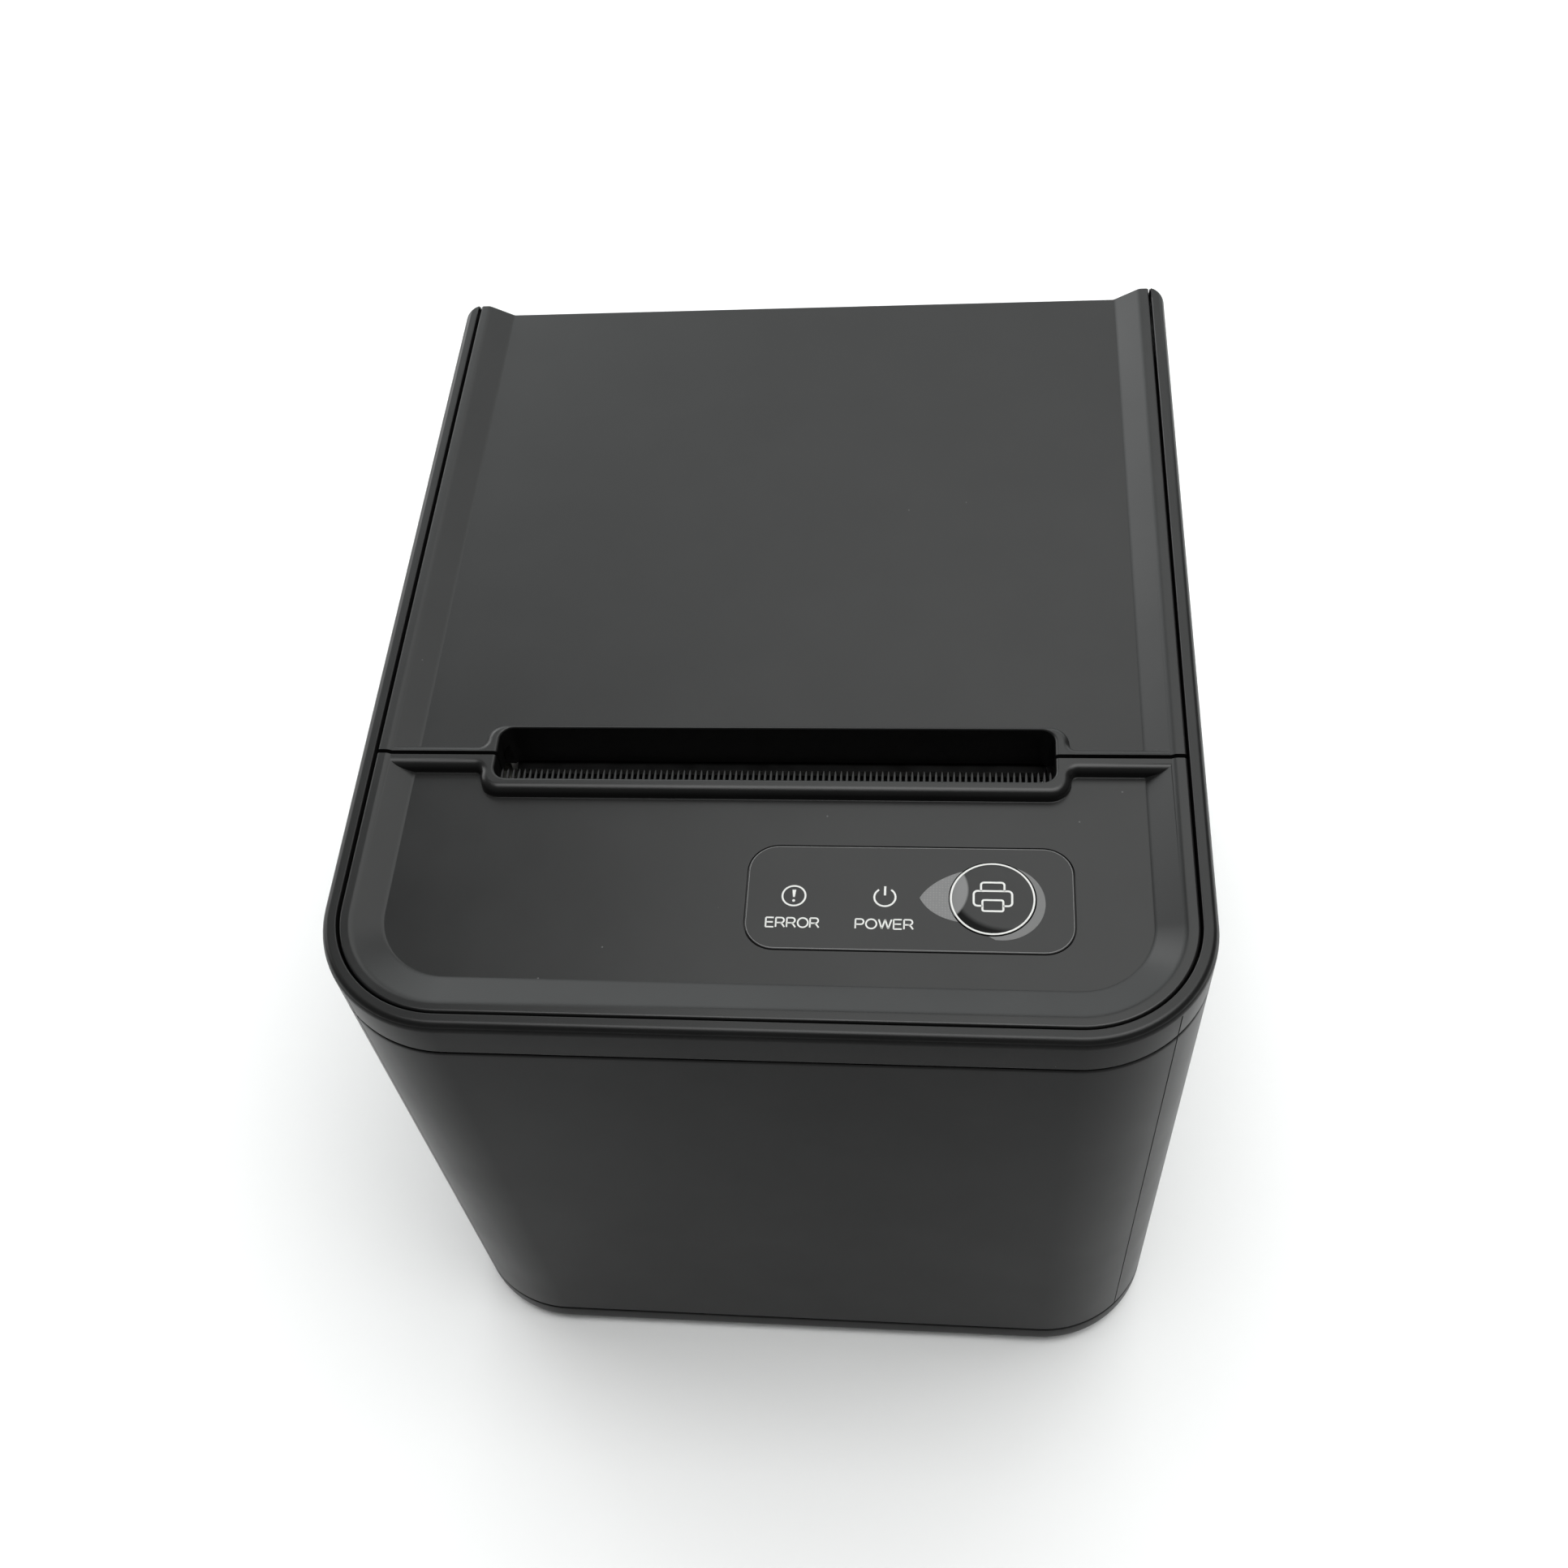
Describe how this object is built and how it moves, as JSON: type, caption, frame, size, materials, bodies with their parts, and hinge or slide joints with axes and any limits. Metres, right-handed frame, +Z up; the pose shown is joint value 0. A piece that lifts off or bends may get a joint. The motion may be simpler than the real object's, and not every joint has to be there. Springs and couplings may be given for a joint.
{
  "type": "receipt printer",
  "caption": "Desktop thermal receipt printer with a drop-in roll bin under a hinged lid, a paper slot with tear bar, a cutter and a feed button.",
  "frame": {"origin": "middle of the footprint, at the underside of the feet", "axes": "+X to the right seen from the front, +Y to the rear, +Z up"},
  "size_m": [0.126, 0.15, 0.1195],
  "materials": {
    "housing": "fine matt texture, dark grey moulded ABS",
    "overlay": "semi-gloss printed film",
    "button": "semi-gloss key",
    "inner_plastic": "black moulded plastic",
    "steel_sheet": "zinc-plated pressed sheet",
    "steel_shaft": "ground and plated",
    "blade_steel": "ground blade steel",
    "motor_can": "plated motor can",
    "heat_sink": "extruded aluminium",
    "ceramic": "glazed head substrate",
    "roller_rubber": "ground silicone rubber",
    "foot_rubber": "soft moulded rubber",
    "gear_nylon": "natural white acetal",
    "board": "green solder-masked laminate",
    "light_pipe": "clear moulded plastic",
    "flex": "polyimide flat cable",
    "socket_metal": "plated socket shell"
  },
  "bodies": {
    "case": {"base_tray": "housing", "case_shell": "housing", "top_frame": "housing", "front_cover": "housing", "control_overlay": "overlay", "error_light_pipe": "light_pipe", "power_light_pipe": "light_pipe", "panel_board": "board", "main_board": "board", "feed_switch": "inner_plastic", "paper_bin": "inner_plastic", "tear_bar": "inner_plastic", "hinge_pin_left": "steel_shaft", "hinge_pin_right": "steel_shaft", "head_shaft": "steel_shaft", "idler_pin": "steel_shaft", "base_screw_left": "steel_shaft", "base_screw_right": "steel_shaft", "head_spring_left": "steel_shaft", "head_spring_right": "steel_shaft", "frame_side_left": "steel_sheet", "frame_side_right": "steel_sheet", "frame_floor": "steel_sheet", "frame_cross": "steel_sheet", "blade_guide_left": "steel_sheet", "blade_guide_right": "steel_sheet", "rear_plate": "steel_sheet", "feed_motor": "motor_can", "cutter_motor": "motor_can", "foot_front_left": "foot_rubber", "foot_front_right": "foot_rubber", "foot_rear_left": "foot_rubber", "foot_rear_right": "foot_rubber", "usb_socket": "socket_metal", "network_socket": "socket_metal", "drawer_socket": "inner_plastic", "power_inlet": "inner_plastic", "switch_housing": "inner_plastic", "head_cable": "flex"},
    "lid": {"lid": "housing", "lid_liner": "inner_plastic", "platen_bracket": "steel_sheet", "platen_bush_left": "gear_nylon", "platen_bush_right": "gear_nylon", "fixed_blade": "blade_steel"},
    "platen": {"platen_shaft": "steel_shaft", "platen_rubber": "roller_rubber", "platen_gear": "gear_nylon"},
    "idler": {"idler_gear": "gear_nylon"},
    "feed_pinion": {"feed_pinion": "gear_nylon"},
    "head": {"print_head": "ceramic", "heat_sink": "heat_sink"},
    "cutter_blade": {"cutter_blade": "blade_steel"},
    "cutter_gear": {"cutter_gear": "gear_nylon"},
    "cutter_pinion": {"cutter_pinion": "gear_nylon"},
    "latch": {"latch_shaft": "steel_shaft", "latch_hook_left": "steel_sheet", "latch_hook_right": "steel_sheet"},
    "button": {"feed_button": "button"},
    "rocker": {"switch_rocker": "inner_plastic"}
  },
  "joints": [
    {"name": "lid_hinge", "type": "hinge", "parent": "case", "child": "lid", "pos_m": [0, 0.068, 0.1045], "axis": [-1, 0, 0], "range_deg": [0, 90]},
    {"name": "platen_spin", "type": "hinge", "parent": "lid", "child": "platen", "pos_m": [0, -0.0185, 0.099], "axis": [1, 0, 0], "continuous": true},
    {"name": "idler_spin", "type": "hinge", "parent": "case", "child": "idler", "pos_m": [0.0487, -0.0171, 0.07704], "axis": [1, 0, 0], "continuous": true},
    {"name": "feed_pinion_spin", "type": "hinge", "parent": "case", "child": "feed_pinion", "pos_m": [0.0487, -0.0346, 0.06735], "axis": [1, 0, 0], "continuous": true},
    {"name": "head_pivot", "type": "hinge", "parent": "case", "child": "head", "pos_m": [0, -0.0285, 0.086], "axis": [1, 0, 0], "range_deg": [0, 3], "stiffness_Nm_per_rad": 2, "springref_deg": -2.86},
    {"name": "cutter_slide", "type": "slide", "parent": "case", "child": "cutter_blade", "axis": [0, 1, 0], "range_m": [0, 0.008]},
    {"name": "cutter_gear_spin", "type": "hinge", "parent": "case", "child": "cutter_gear", "pos_m": [0.038, -0.052, 0.1012], "axis": [-1, 0, 0], "range_deg": [-1, 97]},
    {"name": "cutter_pinion_spin", "type": "hinge", "parent": "case", "child": "cutter_pinion", "pos_m": [0.043, -0.05597, 0.08736], "axis": [1, 0, 0], "range_deg": [-3, 290]},
    {"name": "latch_pivot", "type": "hinge", "parent": "case", "child": "latch", "pos_m": [0, -0.0345, 0.0925], "axis": [1, 0, 0], "range_deg": [0, 8], "stiffness_Nm_per_rad": 0.3, "springref_deg": -5.73},
    {"name": "feed_button_press", "type": "slide", "parent": "case", "child": "button", "axis": [0, 0, -1], "range_m": [0, 0.0006], "stiffness_N_per_m": 1500, "springref_m": -0.0003},
    {"name": "power_switch", "type": "hinge", "parent": "case", "child": "rocker", "pos_m": [-0.037, 0.07, 0.0225], "axis": [0, 0, 1], "range_deg": [0, 16]}
  ],
  "couplings": [
    {"joint": "idler_spin", "follows": "platen_spin", "ratio": -0.57143},
    {"joint": "feed_pinion_spin", "follows": "platen_spin", "ratio": 1.3333},
    {"joint": "cutter_gear_spin", "follows": "cutter_slide", "rad_per_m": 208.33},
    {"joint": "cutter_pinion_spin", "follows": "cutter_slide", "rad_per_m": 625}
  ]
}
